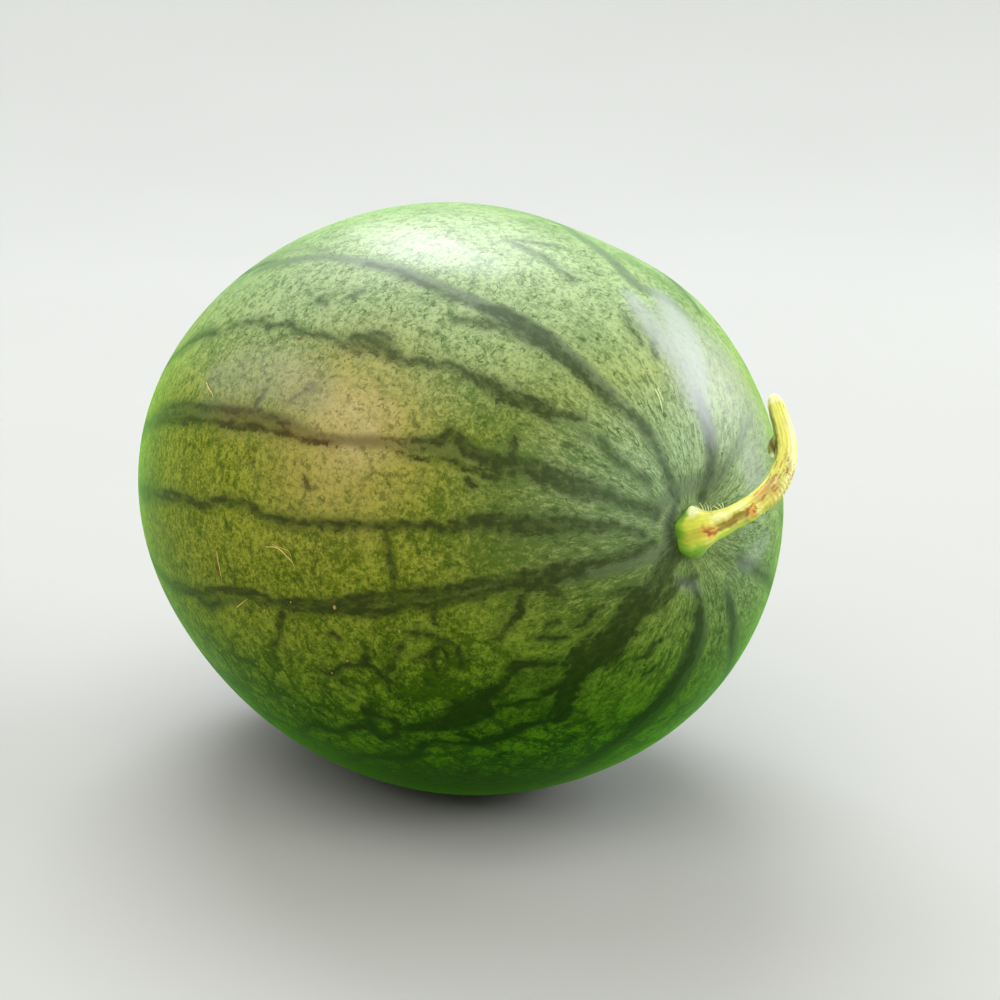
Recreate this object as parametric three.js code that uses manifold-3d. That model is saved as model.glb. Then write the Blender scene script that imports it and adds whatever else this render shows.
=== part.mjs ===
// A whole watermelon lying on its side with its dried, hooked stem still on.
// Millimetres, +Z up. The fruit's long axis runs along X, stem end at +X and a little raised.
// The origin is on the flat resting spot, straight below the middle of the fruit.

import * as THREE from "three";
import { mergeVertices } from "three/addons/utils/BufferGeometryUtils.js";
import Module from "manifold-3d";

const { cos, sin, exp, hypot, acos, atan2, PI } = Math;
const { degToRad, smoothstep, lerp, clamp } = THREE.MathUtils;

// ---- Driving dimensions -------------------------------------------------------------------

const HALF_LENGTH = 136.5; // middle of the fruit to either end, before the ends are dished
const HALF_WIDTH = 105; // middle of the fruit to its side
const AXIS_RISE = 6.5; // degrees by which the stem end is tipped up
const REST_DEPTH = 4; // how much of the round underside the resting spot takes away
const REST_EDGE = 0.8; // half height of the soft edge round that spot

// The departure from a true ellipsoid, as shares of the radius; angles are in degrees.
const BLOSSOM_END_FULLER = 0.015;
const SHOULDERS_FULLER = 0.009;
const OVAL = { share: 0.0117, turned: 32 };
const THREE_SIDED = { share: 0.0077, turned: 56 };

// Soft swellings (+) and hollows (-). `from` is the angle from the stem end, `round` the angle
// about the axis from the top towards -Y, both in degrees; `spread` is in degrees, `height` in mm.
const SWELLINGS = [
  { from: 42, round: -152, spread: 20, height: 1.0 },
  { from: 50, round: -42, spread: 14, height: 1.3 },
  { from: 64, round: -23, spread: 14, height: -1.1 },
  { from: 88, round: 0, spread: 18, height: 0.6 },
  { from: 95, round: 148, spread: 16, height: -0.3 },
  { from: 118, round: 122, spread: 20, height: -0.9 },
  { from: 120, round: 40, spread: 20, height: -0.4 },
  { from: 76, round: -98, spread: 22, height: 0.9 },
  { from: 112, round: -62, spread: 20, height: -1.0 },
  { from: 132, round: -140, spread: 20, height: 0.8 },
];

// The dished ends. Puckers are the furrows that run out of a dish like the spokes of a wheel.
const STEM_DISH = { flat: 8.5, rim: 31, depth: 4.5, puckers: 11, pucker: 0.55, fade: 62 };
const BLOSSOM_DISH = { flat: 6, rim: 25, depth: 2.6, puckers: 9, pucker: 0.7, fade: 48 };
const BLOSSOM_SCAR = { radius: 6.5, height: 1.7 };

// The stem's centre line from its seat: along the fruit's axis, towards +Y, and up from the axis.
const STEM_ROUTE = [
  [0, 0, 0],
  [1.8, 0, 0],
  [4.6, 1.2, 0.5],
  [8.3, 4.6, 1.8],
  [12, 8.7, 4],
  [15.5, 12.7, 6.8],
  [18, 16.9, 10.2],
  [19, 20.9, 14],
  [18.8, 24.3, 18.7],
  [17.5, 26.7, 24],
  [15, 28, 29.5],
  [12.2, 28.8, 34.8],
  [9.6, 29.4, 39.6],
];
// Stem radius at shares of its length: a flared foot, a slim neck, a narrowing cut tip.
const STEM_RADII = [
  [0, 6],
  [0.035, 6.2],
  [0.085, 5.7],
  [0.15, 4.4],
  [0.24, 3.6],
  [0.36, 3.4],
  [0.5, 3.45],
  [0.72, 3.2],
  [0.86, 2.85],
  [0.94, 2.5],
  [0.98, 1.9],
  [1, 0.9],
];
// `around` 0 faces out of the stem's bend plane on the -Y side, 90 the outside of the bend.
const STEM_RIBS = { count: 5, depth: 0.07, twist: 60 };
const STEM_FACING = new THREE.Vector3(0.33, -0.87, 0.37);
const STEM_LUMPS = [
  { along: 0.035, around: 104, length: 0.045, width: 30, height: 3.1 }, // the foot's lower lobe
  { along: 0.045, around: -72, length: 0.05, width: 36, height: 1.3 }, // its upper shoulder
  { along: 0.15, around: 20, length: 0.03, width: 26, height: 0.4 }, // rim of the cracked scar
  { along: 0.335, around: 62, length: 0.034, width: 36, height: 1.2 }, // corky leaf scar
  { along: 0.47, around: 110, length: 0.05, width: 50, height: 0.4 }, // elbow
  { along: 0.75, around: -78, length: 0.035, width: 40, height: 0.5 }, // root of the tendril stub
];
const TENDRIL_STUB = {
  along: 0.745, // share of the stem's length at which it grows out
  around: -78,
  route: [
    [-1.3, 1.6],
    [0.3, 0.3],
    [1, -1.7],
    [1.2, -4.4],
  ], // outwards, and along the stem (mm)
  radii: [
    [0, 1.4],
    [0.4, 1.25],
    [0.8, 0.95],
    [1, 0.5],
  ],
};
const SEAT_GAP = 0.3; // between the stem's foot and the fruit

// Mesh fineness.
const FRUIT_GRID = { round: 88, along: 49, crowdEnds: 0.72 };
const STEM_GRID = { round: 30, along: 44 };
const STUB_GRID = { round: 9, along: 7 };

// ---- Fruit --------------------------------------------------------------------------------

// Unit vector from the middle of the fruit, in the fruit's own frame: stem end at +X.
function direction(theta, phi) {
  return new THREE.Vector3(cos(theta), -sin(theta) * sin(phi), sin(theta) * cos(phi));
}

function fruitRadius(theta, phi) {
  const c = cos(theta);
  const s = sin(theta);
  let r = 1 / hypot(c / HALF_LENGTH, s / HALF_WIDTH);
  r *= 1 - (BLOSSOM_END_FULLER * (5 * c ** 3 - 3 * c)) / 2;
  r *= 1 + (SHOULDERS_FULLER * (35 * c ** 4 - 30 * c ** 2 + 3)) / 8;
  const oval = OVAL.share * cos(2 * (phi - degToRad(OVAL.turned)));
  const threeSided = THREE_SIDED.share * cos(3 * (phi - degToRad(THREE_SIDED.turned)));
  r *= 1 + s * s * (oval + threeSided);
  const here = direction(theta, phi);
  for (const { from, round, spread, height } of SWELLINGS) {
    const away = here.angleTo(direction(degToRad(from), degToRad(round)));
    r += height * exp(-((away / degToRad(spread)) ** 2));
  }
  return r;
}

// Distance along the axis at `rho` from it once an end is dished and puckered.
function dished(x, rho, phi, pole, { flat, rim, depth, puckers, pucker, fade }) {
  const risen = lerp(pole - depth, x, smoothstep(rho, flat, rim));
  const uneven = cos(puckers * phi + 1.3 * sin(2 * phi) + 0.8 * cos(3 * phi));
  const within = smoothstep(rho, flat, 0.6 * rim) * (1 - smoothstep(rho, 0.6 * rim, fade));
  return risen - pucker * within * (0.5 + 0.5 * uneven);
}

function fruitPoint(theta, phi) {
  const p = direction(theta, phi).multiplyScalar(fruitRadius(theta, phi));
  const rho = hypot(p.y, p.z);
  if (p.x > 0) {
    p.x = dished(p.x, rho, phi, fruitRadius(0, 0), STEM_DISH);
  } else {
    p.x = -dished(-p.x, rho, phi, fruitRadius(PI, 0), BLOSSOM_DISH);
    p.x -= BLOSSOM_SCAR.height * (1 - smoothstep(rho, 0.45 * BLOSSOM_SCAR.radius, BLOSSOM_SCAR.radius));
  }
  return p;
}

// A closed unit sphere whose rings crowd towards the two ends, as [theta, phi] grid points.
function fruitGeometry() {
  const sphere = new THREE.SphereGeometry(1, FRUIT_GRID.round, FRUIT_GRID.along);
  sphere.deleteAttribute("normal");
  sphere.deleteAttribute("uv");
  const grid = mergeVertices(sphere);
  const at = grid.getAttribute("position");
  for (let i = 0; i < at.count; i++) {
    const even = acos(clamp(at.getY(i), -1, 1)); // the sphere's rings are evenly spaced about Y
    const theta = even - (FRUIT_GRID.crowdEnds / 2) * sin(2 * even);
    const phi = atan2(at.getX(i), at.getZ(i));
    const p = fruitPoint(theta, phi);
    at.setXYZ(i, p.x, p.y, p.z);
  }
  return grid;
}

// ---- Stem ---------------------------------------------------------------------------------

// Smooth value at `t` of a list of [t, value] points.
function profile(points, t) {
  let i = 1;
  while (i < points.length - 1 && t > points[i][0]) i++;
  const [[t0, v0], [t1, v1]] = [points[i - 1], points[i]];
  return lerp(v0, v1, smoothstep(t, t0, t1) * 0.5 + ((t - t0) / (t1 - t0)) * 0.5);
}

// Angle between two directions round a stem, in degrees, 0 to 180.
function turn(a, b) {
  return Math.abs(((((a - b) % 360) + 540) % 360) - 180);
}

// The stem's cross frame at share `t` of `curve`: centre, tangent, facing and side vectors.
function crossFrame(curve, t, facing) {
  const tangent = curve.getTangentAt(t);
  const front = facing.clone().addScaledVector(tangent, -facing.dot(tangent)).normalize();
  return { centre: curve.getPointAt(t), tangent, front, side: tangent.clone().cross(front) };
}

// A closed tube along `curve` whose radius is radiusAt(share, degrees round).
function taperedTube(curve, facing, grid, radiusAt) {
  const tube = new THREE.CylinderGeometry(1, 1, 1, grid.round, grid.along);
  tube.deleteAttribute("normal");
  tube.deleteAttribute("uv");
  const merged = mergeVertices(tube);
  const at = merged.getAttribute("position");
  for (let i = 0; i < at.count; i++) {
    const share = clamp(0.5 - at.getY(i), 0, 1);
    const onAxis = hypot(at.getX(i), at.getZ(i)) < 0.5;
    const angle = atan2(at.getZ(i), at.getX(i));
    const { centre, front, side } = crossFrame(curve, share, facing);
    const r = onAxis ? 0 : radiusAt(share, (angle * 180) / PI);
    centre.addScaledVector(front, r * cos(angle)).addScaledVector(side, r * sin(angle));
    at.setXYZ(i, centre.x, centre.y, centre.z);
  }
  return merged;
}

function stemRadius(share, around) {
  const ribs = cos(degToRad(STEM_RIBS.count * around + STEM_RIBS.twist * share));
  let r = profile(STEM_RADII, share) * (1 + STEM_RIBS.depth * ribs);
  for (const lump of STEM_LUMPS) {
    const away = hypot((share - lump.along) / lump.length, turn(around, lump.around) / lump.width);
    r += lump.height * exp(-(away ** 2));
  }
  return r;
}

function stemCurve() {
  return new THREE.CatmullRomCurve3(STEM_ROUTE.map((p) => new THREE.Vector3(...p)));
}

function stubCurve(stem) {
  const { centre, tangent, front, side } = crossFrame(stem, TENDRIL_STUB.along, STEM_FACING);
  const angle = degToRad(TENDRIL_STUB.around);
  const out = front.multiplyScalar(cos(angle)).addScaledVector(side, sin(angle));
  const root = centre.addScaledVector(out, stemRadius(TENDRIL_STUB.along, TENDRIL_STUB.around));
  return new THREE.CatmullRomCurve3(
    TENDRIL_STUB.route.map(([away, along]) =>
      root.clone().addScaledVector(out, away).addScaledVector(tangent, along),
    ),
  );
}

// ---- Solids -------------------------------------------------------------------------------

const wasm = await Module();
wasm.setup();

function toSolid(geometry) {
  return new wasm.Manifold(
    new wasm.Mesh({
      numProp: 3,
      vertProperties: new Float32Array(geometry.getAttribute("position").array),
      triVerts: new Uint32Array(geometry.index.array),
    }),
  );
}

function toGeometry(solid) {
  const { vertProperties, triVerts } = solid.getMesh();
  return new THREE.BufferGeometry()
    .setAttribute("position", new THREE.BufferAttribute(vertProperties, 3))
    .setIndex(new THREE.BufferAttribute(triVerts, 1));
}

// The stem stands on a flat foot in the middle of the dish, so its curve starts at that seat.
function stemGeometry() {
  const curve = stemCurve();
  const stem = taperedTube(curve, STEM_FACING, STEM_GRID, stemRadius);
  const stub = taperedTube(stubCurve(curve), STEM_FACING, STUB_GRID, (share) =>
    profile(TENDRIL_STUB.radii, share),
  );
  const seat = fruitRadius(0, 0) - STEM_DISH.depth + SEAT_GAP;
  return toGeometry(toSolid(stem).add(toSolid(stub))).translate(seat, 0, 0);
}

// ---- Placing ------------------------------------------------------------------------------

const tipUp = new THREE.Matrix4().makeRotationY(degToRad(-AXIS_RISE));
const fruit = fruitGeometry().applyMatrix4(tipUp);
fruit.computeBoundingBox();
const LIFT = -fruit.boundingBox.min.z - REST_DEPTH; // middle of the fruit above the surface
fruit.translate(0, 0, LIFT);

// The underside is pressed flat at z = 0, with a soft edge.
const skin = fruit.getAttribute("position");
for (let i = 0; i < skin.count; i++) {
  const z = skin.getZ(i);
  if (z < REST_EDGE) skin.setZ(i, z < -REST_EDGE ? 0 : (z + REST_EDGE) ** 2 / (4 * REST_EDGE));
}

const rind = new THREE.MeshStandardMaterial({ color: 0x5f7d2e, roughness: 0.42, metalness: 0 });
const driedStem = new THREE.MeshStandardMaterial({ color: 0xb9b04a, roughness: 0.7, metalness: 0 });

function node(name, geometry, material) {
  geometry.computeVertexNormals();
  const mesh = new THREE.Mesh(geometry, material);
  mesh.name = name;
  return mesh;
}

const watermelon = new THREE.Group();
watermelon.add(node("fruit", fruit, rind));
watermelon.add(
  node("stem", stemGeometry().applyMatrix4(tipUp).translate(0, 0, LIFT), driedStem),
);

export default watermelon;
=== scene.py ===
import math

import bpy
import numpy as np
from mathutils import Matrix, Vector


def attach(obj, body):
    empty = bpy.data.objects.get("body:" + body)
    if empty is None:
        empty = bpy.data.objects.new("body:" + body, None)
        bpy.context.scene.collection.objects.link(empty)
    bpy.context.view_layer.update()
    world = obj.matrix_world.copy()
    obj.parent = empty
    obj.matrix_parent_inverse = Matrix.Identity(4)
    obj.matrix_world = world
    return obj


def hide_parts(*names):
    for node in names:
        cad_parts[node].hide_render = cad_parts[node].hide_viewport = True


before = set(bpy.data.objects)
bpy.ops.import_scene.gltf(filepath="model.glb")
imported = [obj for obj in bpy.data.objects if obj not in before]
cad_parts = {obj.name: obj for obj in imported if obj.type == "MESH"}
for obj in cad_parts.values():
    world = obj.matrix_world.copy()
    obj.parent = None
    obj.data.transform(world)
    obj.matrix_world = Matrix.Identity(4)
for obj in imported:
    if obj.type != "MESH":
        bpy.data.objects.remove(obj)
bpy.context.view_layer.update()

# A whole watermelon lying on its side, with its dried and hooked stem.
# Metres. The fruit is shaped in a frame of its own, with the stem end at +X: `theta` is the angle
# from that end, and `phi` the angle about the axis from the top towards -Y. It is then tipped up
# and lifted onto its resting spot.

MM = 0.001
SEED = 11

# ---- Form, as in the solids ----

HALF_LENGTH = 0.1365
HALF_WIDTH = 0.105
AXIS_RISE = math.radians(6.5)
LIFT = 0.10267  # middle of the fruit above the floor
REST_EDGE = 0.0008

BLOSSOM_END_FULLER = 0.015
SHOULDERS_FULLER = 0.009
OVAL = (0.0117, 32)  # share of the radius, degrees turned
THREE_SIDED = (0.0077, 56)
SWELLINGS = [  # theta, phi and spread in degrees, height in mm
    (42, -152, 20, 1.0), (50, -42, 14, 1.3), (64, -23, 14, -1.1), (88, 0, 18, 0.6),
    (95, 148, 16, -0.3), (118, 122, 20, -0.9), (120, 40, 20, -0.4), (76, -98, 22, 0.9),
    (112, -62, 20, -1.0), (132, -140, 20, 0.8),
]
STEM_DISH = dict(flat=0.0085, rim=0.031, depth=0.0045, puckers=11, pucker=0.00055, fade=0.062)
BLOSSOM_DISH = dict(flat=0.006, rim=0.025, depth=0.0026, puckers=9, pucker=0.0007, fade=0.048)
BLOSSOM_SCAR = dict(radius=0.0065, flat=0.002925, height=0.0017)

STEM_ROUTE = [  # mm from the stem's seat: out along the axis, towards +Y, up
    (0, 0, 0), (1.8, 0, 0), (4.6, 1.2, 0.5), (8.3, 4.6, 1.8), (12, 8.7, 4), (15.5, 12.7, 6.8),
    (18, 16.9, 10.2), (19, 20.9, 14), (18.8, 24.3, 18.7), (17.5, 26.7, 24), (15, 28, 29.5),
    (12.2, 28.8, 34.8), (9.6, 29.4, 39.6),
]
STEM_RADII = [  # share of the length, radius in mm
    (0, 6), (0.035, 6.2), (0.085, 5.7), (0.15, 4.4), (0.24, 3.6), (0.36, 3.4), (0.5, 3.45),
    (0.72, 3.2), (0.86, 2.85), (0.94, 2.5), (0.98, 1.9), (1, 0.9),
]
STEM_RIBS = dict(count=5, depth=0.07, twist=60)
STEM_FACING = np.array([0.33, -0.87, 0.37])
STEM_LUMPS = [  # along, around, length, width, height in mm
    (0.035, 104, 0.045, 30, 3.1), (0.045, -72, 0.05, 36, 1.3), (0.15, 20, 0.03, 26, 0.4),
    (0.335, 62, 0.034, 36, 1.2), (0.47, 110, 0.05, 50, 0.4), (0.75, -78, 0.035, 40, 0.5),
]
STUB_ALONG, STUB_AROUND = 0.745, -78
STUB_ROUTE = [(-1.3, 1.6), (0.3, 0.3), (1, -1.7), (1.2, -4.4)]  # mm outwards, mm along the stem
STUB_RADII = [(0, 1.4), (0.4, 1.25), (0.8, 0.95), (1, 0.5)]

RIND_GRID = (480, 200)  # vertices round, rings along
CROWD_ENDS = 0.72
STEM_GRID = (96, 240)

# ---- Stripes ----
# Each stroke is a list of (theta, phi, half width in mm). Veins are the dark jagged lines, and
# shadows the soft broad bands round them, which also have a strength.

VEINS = [
    # The stripe along the top.
    [(45, 28.5, 0.9), (42, 27.5, 1.9), (38.5, 26.5, 2.6), (35, 26, 2.6), (31, 26.5, 2.6),
     (27.5, 26, 1.6), (24.5, 27, 1), (22, 26.5, 0.7), (19, 23.5, 0.9), (16.5, 21, 1.5),
     (14.5, 21, 1), (12, 21.5, 0.7), (9.5, 23.5, 0.7), (6, 27, 0.7)],
    [(46, 34.5, 0.9), (43.5, 33, 0.9), (41, 31, 1.2), (37.5, 29.5, 1), (35, 29.5, 0.8)],
    [(69, 31, 0.4), (65.5, 30.5, 0.8), (61.5, 30.5, 0.7), (57.5, 30.5, 0.5), (49, 30.5, 0.5)],
    # The second, a thin thread that opens into a wedge.
    [(92, 50, 0.4), (87, 48.5, 0.5), (82, 48, 0.6), (79, 49, 0.6), (76, 48.5, 0.6),
     (75, 47.5, 0.5), (71.5, 49, 0.6), (69, 49, 0.4), (66.5, 48.5, 0.5), (61.5, 48.5, 0.4)],
    [(62, 49, 0.4), (59.5, 48.5, 2.4), (57, 47.5, 3.8), (54.5, 46.5, 3.8), (52, 48, 1.6),
     (50, 48.5, 1), (47, 47.5, 1), (44.5, 46.5, 1.1), (42.5, 45, 0.9), (40.5, 45, 0.7),
     (38.5, 45.5, 1), (35.5, 45.5, 2.2), (32.5, 45, 2.5), (30, 44.5, 1.9), (28, 44, 1.9),
     (26, 44, 1.5), (24.5, 42, 1.1), (22.5, 39.5, 0.6)],
    [(21, 43.5, 0.4), (20, 42.5, 0.4)],
    [(19, 41.5, 0.4), (17.5, 43.5, 0.6), (15.5, 44.5, 0.6), (12.5, 44.5, 0.4), (10.5, 42, 0.3)],
    # The third, double towards the blossom end.
    [(118, 69, 0.5), (106, 68.5, 0.7), (95, 68, 0.8), (87, 68, 0.8), (80.5, 68, 0.9),
     (73.5, 68, 0.8), (66, 68, 0.8), (59.5, 68.5, 0.6), (54.5, 68.5, 0.3)],
    [(46, 66.5, -0.2), (43, 67.5, 0.1), (38, 67, 0.2), (35, 66.5, 0.1)],
    [(47, 65, -0.2), (42, 64, 0.2), (40.5, 63.5, 0.6)],
    [(108, 66, 0.2), (97, 65, 0.6), (88, 65.5, 0.7), (80, 65.5, 0.7), (72, 65, 0.6),
     (65, 66, 0.3)],
    [(40.5, 63.5, 1.2), (38.5, 62.5, 1), (37, 60, 1.2), (35.5, 61, 1), (34, 63, 1.6),
     (31.5, 64, 2.4), (29, 64.5, 3), (27, 63, 2.2), (24, 63, 3), (21.5, 62.5, 2.8),
     (18.5, 63.5, 2.7), (16, 62.5, 1.8), (14, 63, 1.4), (11.5, 63.5, 1.1), (7, 62.5, 1.5)],
    [(34.5, 67, 0.4), (32, 67.5, 0.5), (30.5, 68, 0.5), (29, 67.5, 0.4)],
    [(29, 56.5, 0.3), (28.5, 59, 0.5), (28.5, 61.5, 0.7)],
    # The fourth, along the middle.
    [(117, 83, 0.4), (98, 81.5, 0.7), (95, 82, 0.9), (87.5, 82.5, 0.8), (84.5, 83, 0.8),
     (80, 81.5, 1), (76, 81.5, 0.8), (71.5, 81.5, 0.8), (69.5, 82.5, 1), (67, 83.5, 0.9),
     (63, 84, 1.2), (57, 84, 1), (47, 83.5, 0.8), (38.5, 82.5, 0.7), (35.5, 83, 1),
     (33, 82, 1.3), (31, 80.5, 1.5), (29.5, 81, 1.8), (26, 81, 2.4), (23, 81, 2.4),
     (19.5, 80, 2.1), (17, 79, 1.8), (15, 79, 1.4), (13, 78, 0.7), (11, 80, 0.6), (8.5, 83.5, 0.5)],
    [(44.5, 84, 0.6), (44, 90.5, 0.6), (43.5, 93, 0.3), (44, 97.5, 0.3)],
    # The fifth, two threads that close on lenses of paler rind.
    [(108, 102, 0.8), (91.5, 100, 1), (82.5, 98.5, 1), (72.5, 98, 0.8), (69.5, 99, 0.6),
     (65.5, 99.5, 0.8), (58, 99.5, 0.7), (53, 99, 0.6), (50, 98.5, 0.7), (47, 98, 0.9),
     (44, 97.5, 1), (41.5, 98, 0.9), (35.5, 98, 0.7), (32, 97.5, 0.9), (28.5, 98, 1),
     (23, 96.5, 0.9), (18, 97.5, 1), (12, 97.5, 1.2), (9.5, 97, 1), (7, 95, 1)],
    [(92.5, 102, 1), (88, 102.5, 1.4), (84, 101, 0.6)],
    [(66, 100.5, 0.6), (62.5, 101, 0.7), (57, 101, 0.7), (53.5, 101.5, 0.7), (49.5, 102, 1.2),
     (46.5, 102, 1), (43.5, 101.5, 0.7), (37.5, 101.5, 0.9), (31.5, 101, 0.6), (29.5, 100, 0.7),
     (27, 99.5, 1.3), (24.5, 100.5, 2.4), (22.5, 100, 2.2), (20.5, 100, 1.6), (18, 101, 1.8)],
    [(23.5, 101, 0.7), (22, 104.5, 0.7), (21, 108, 0.3)],
    [(25, 102, 1), (26.5, 105, 0.9), (27, 108.5, 0.9), (29.5, 112, 0.7), (31, 114, 0.6)],
    [(38.5, 101.5, 0.5), (39, 104, 0.5), (39, 106, 0.3)],
    [(66, 100, 0.4), (67, 102, 0.2), (69, 105.5, 0.3), (70, 107, 0.5), (72, 109, 0.1)],
    [(72, 99.5, 0.3), (60, 100, 0.6), (50, 100, 0.6), (44, 99.5, 0.5), (36, 99.5, 0.3)],
    # The rim of the stem's dish, darkened with painted contact shade round the foot, and the broad
    # blotched stripe under it.
    [(4.5, 28, 0.4), (3.5, 50, 0.8), (3.3, 79, 1.1), (3.3, 107, 1.2), (3.8, 130, 1.2)],
    [(2.5, 135, 1.6), (4.5, 131, 2.4), (7, 132, 3.8), (10, 133, 4.2), (12.5, 132.5, 4.6),
     (15, 135, 4.3), (17, 137, 4), (19.5, 138.5, 5.3), (21.5, 139, 5), (23.5, 137, 4.4),
     (25.5, 139, 3.8), (28, 141.5, 3.1), (30, 145, 2.5), (32.5, 148.5, 2.2)],
    [(6.5, 181, 0.6), (7, 158, 0.9), (9.5, 147.5, 1.2), (11.5, 144, 1.2)],
    [(11.5, 120.5, 0.4), (13.5, 118.5, 0.4), (15, 116.5, 0.3)],
    [(20.5, 129.5, 0.8), (22.5, 131, 1.4), (24.5, 133, 2.2)],
    [(26, 132, 1.2), (27.5, 129, 0.9), (29.5, 126, 0.9), (31.5, 125, 1.2), (33, 127, 1.2),
     (34.5, 128.5, 1.6), (38.5, 130, 2.4), (41, 130.5, 3.8), (43, 131.5, 4.4)],
    [(40.5, 133, 4.2), (44, 133, 4.4), (47.5, 133.5, 3.4), (50, 132.5, 2.4), (55.5, 131.5, 1.2)],
    [(33.5, 149.5, 1.4), (34.5, 147.5, 1), (36.5, 144.5, 1), (39, 144, 1.4), (41, 144, 1.6),
     (44, 143.5, 1.4), (46, 143, 1), (46, 140, 0.7), (47, 138, 0.6)],
    [(28.5, 139.5, 0.6), (30, 138, 0.9), (32, 138, 0.7), (36, 135.5, 0.6), (37.5, 134.5, 0.4)],
    [(30, 144, 0.7), (32.5, 145.5, 0.9), (34.5, 147.5, 0.6)],
    [(58.5, 126, 1), (57, 127.5, 1.1), (55, 129, 1), (55.5, 131.5, 1.1), (58.5, 133, 1),
     (61, 133.5, 1), (61.5, 131.5, 1.2), (60.5, 129, 1), (59, 124, 0.5)],
    [(62, 129, 1.4), (66, 129.5, 1.4), (70, 130.5, 1.2), (73.5, 130.5, 1), (73.5, 128, 0.7),
     (84, 132.5, 0.6), (86, 130.5, 0.6), (94.5, 129.5, 1.2)],
    [(46, 143, 1), (51, 138, 0.8), (55, 137.5, 1.1), (58.5, 140.5, 1.4), (62.5, 140.5, 1.1),
     (71.5, 138.5, 0.8), (84, 144, 1.2), (96, 143, 1)],
    # The soft stripes low down under the stem.
    [(7, 179, 0.4), (9.5, 183, 0.8), (14.5, 186.5, 1.6), (19, 183.5, 2), (25, 179.5, 2.2),
     (30.5, 174.5, 2), (37.5, 172, 2), (45.5, 172, 1.8), (60, 170, 1.4), (80, 168, 1.2)],
    [(12, 212.5, 0.5), (15, 212.5, 0.9), (21.5, 210.5, 1), (35, 212, 1), (60, 212, 1.2), (90, 212, 1)],
    # Blots and cracks by themselves.
    [(18.5, 119.5, 0.3), (17, 119.5, 0.3)],
    [(21, 122, 0.4), (20, 123, 0.4), (19, 121.5, 0.3)],
    [(15.5, 160.5, 0.1), (16.5, 157.5, 0.2), (18, 158.5, 0.2), (19, 155.5, 0.1)],
    [(20, 166, 0.0), (21, 163, 0.1)],
    [(24, 116, 0.5), (23, 117, 0.4)],
    [(26, 119.5, 0.3), (24.5, 122, 0.4), (23, 124, 0.3)],
    [(63, 114.5, 0.6), (61.5, 115.5, 0.7), (59.5, 114.5, 0.5), (57.5, 113, 0.5), (53.5, 114, 0.4),
     (52, 110, 0.3)],
    [(60, 117, 0.5), (58.5, 119, 0.3)],
    [(44.5, 114, 0.0), (42, 114, 0.5), (40, 112.5, 0.3)],
    [(41.5, 114, 0.4), (42, 118, 0.1)],
    [(45.5, 110.5, 0.2), (47.5, 113, 0.3), (49, 115.5, 0.1)],
    [(43, 107.5, 0.1), (42, 109, 0.4), (40.5, 109, 0.1)],
    [(52, 110, 0.2), (53, 113.5, 0.4)],
    [(54, 113.5, 0.4), (52, 115, 0.4), (51.5, 117, 0.3), (50.5, 118.5, 0.0)],
    [(71, 124.5, 0.2), (69.5, 126.5, 0.2)],
    [(86, 110, 0.1), (87.5, 113, 0.3), (83, 113.5, 0.1)],
    [(57, 106.5, 0.8), (56.5, 107, 0.8)],
    [(78.5, 124, 0.4), (77.5, 127, 0.5)],
    [(39, 111, 0.3), (37.5, 112.5, 0.4), (37.5, 115, 0.4), (38, 118.5, 0.2)],
    [(55, 8, 0.5), (52.5, 7.5, 0.8), (49, 6, 0.6), (47, 5.5, 0.4), (44, 5.5, 0.5), (41.5, 5, 0.4)],
    [(55, 6.5, 0.4), (52.5, 2.5, 0.5), (51.5, -0.5, 0.4)],
    [(32, -0.5, 0.3), (29.5, 0, 0.4), (27.5, 0, 0.3)],
    [(65.5, 39, 0.4), (64.5, 37.5, 0.4)],
    [(71.5, 41.5, 0.4), (69.5, 42, 0.4)],
    [(66, 62, 0.3), (64, 60, 0.5), (62.5, 58.5, 0.3)],
    [(73.5, 63.5, 0.3), (72.5, 61, 0.3)],
    [(59.5, 75.5, 0.0), (58.5, 77, 0.0)],
    [(33, 70.5, 0.4), (32.5, 71, 0.4)],
    [(27.5, -6, 0.2), (26.5, -4.5, 0.3), (25, -3, 0.2)],
    [(15, -20, 0.3), (11, -25, 0.8), (7, -28, 1.2), (5, -29, 1)],
]
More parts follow.
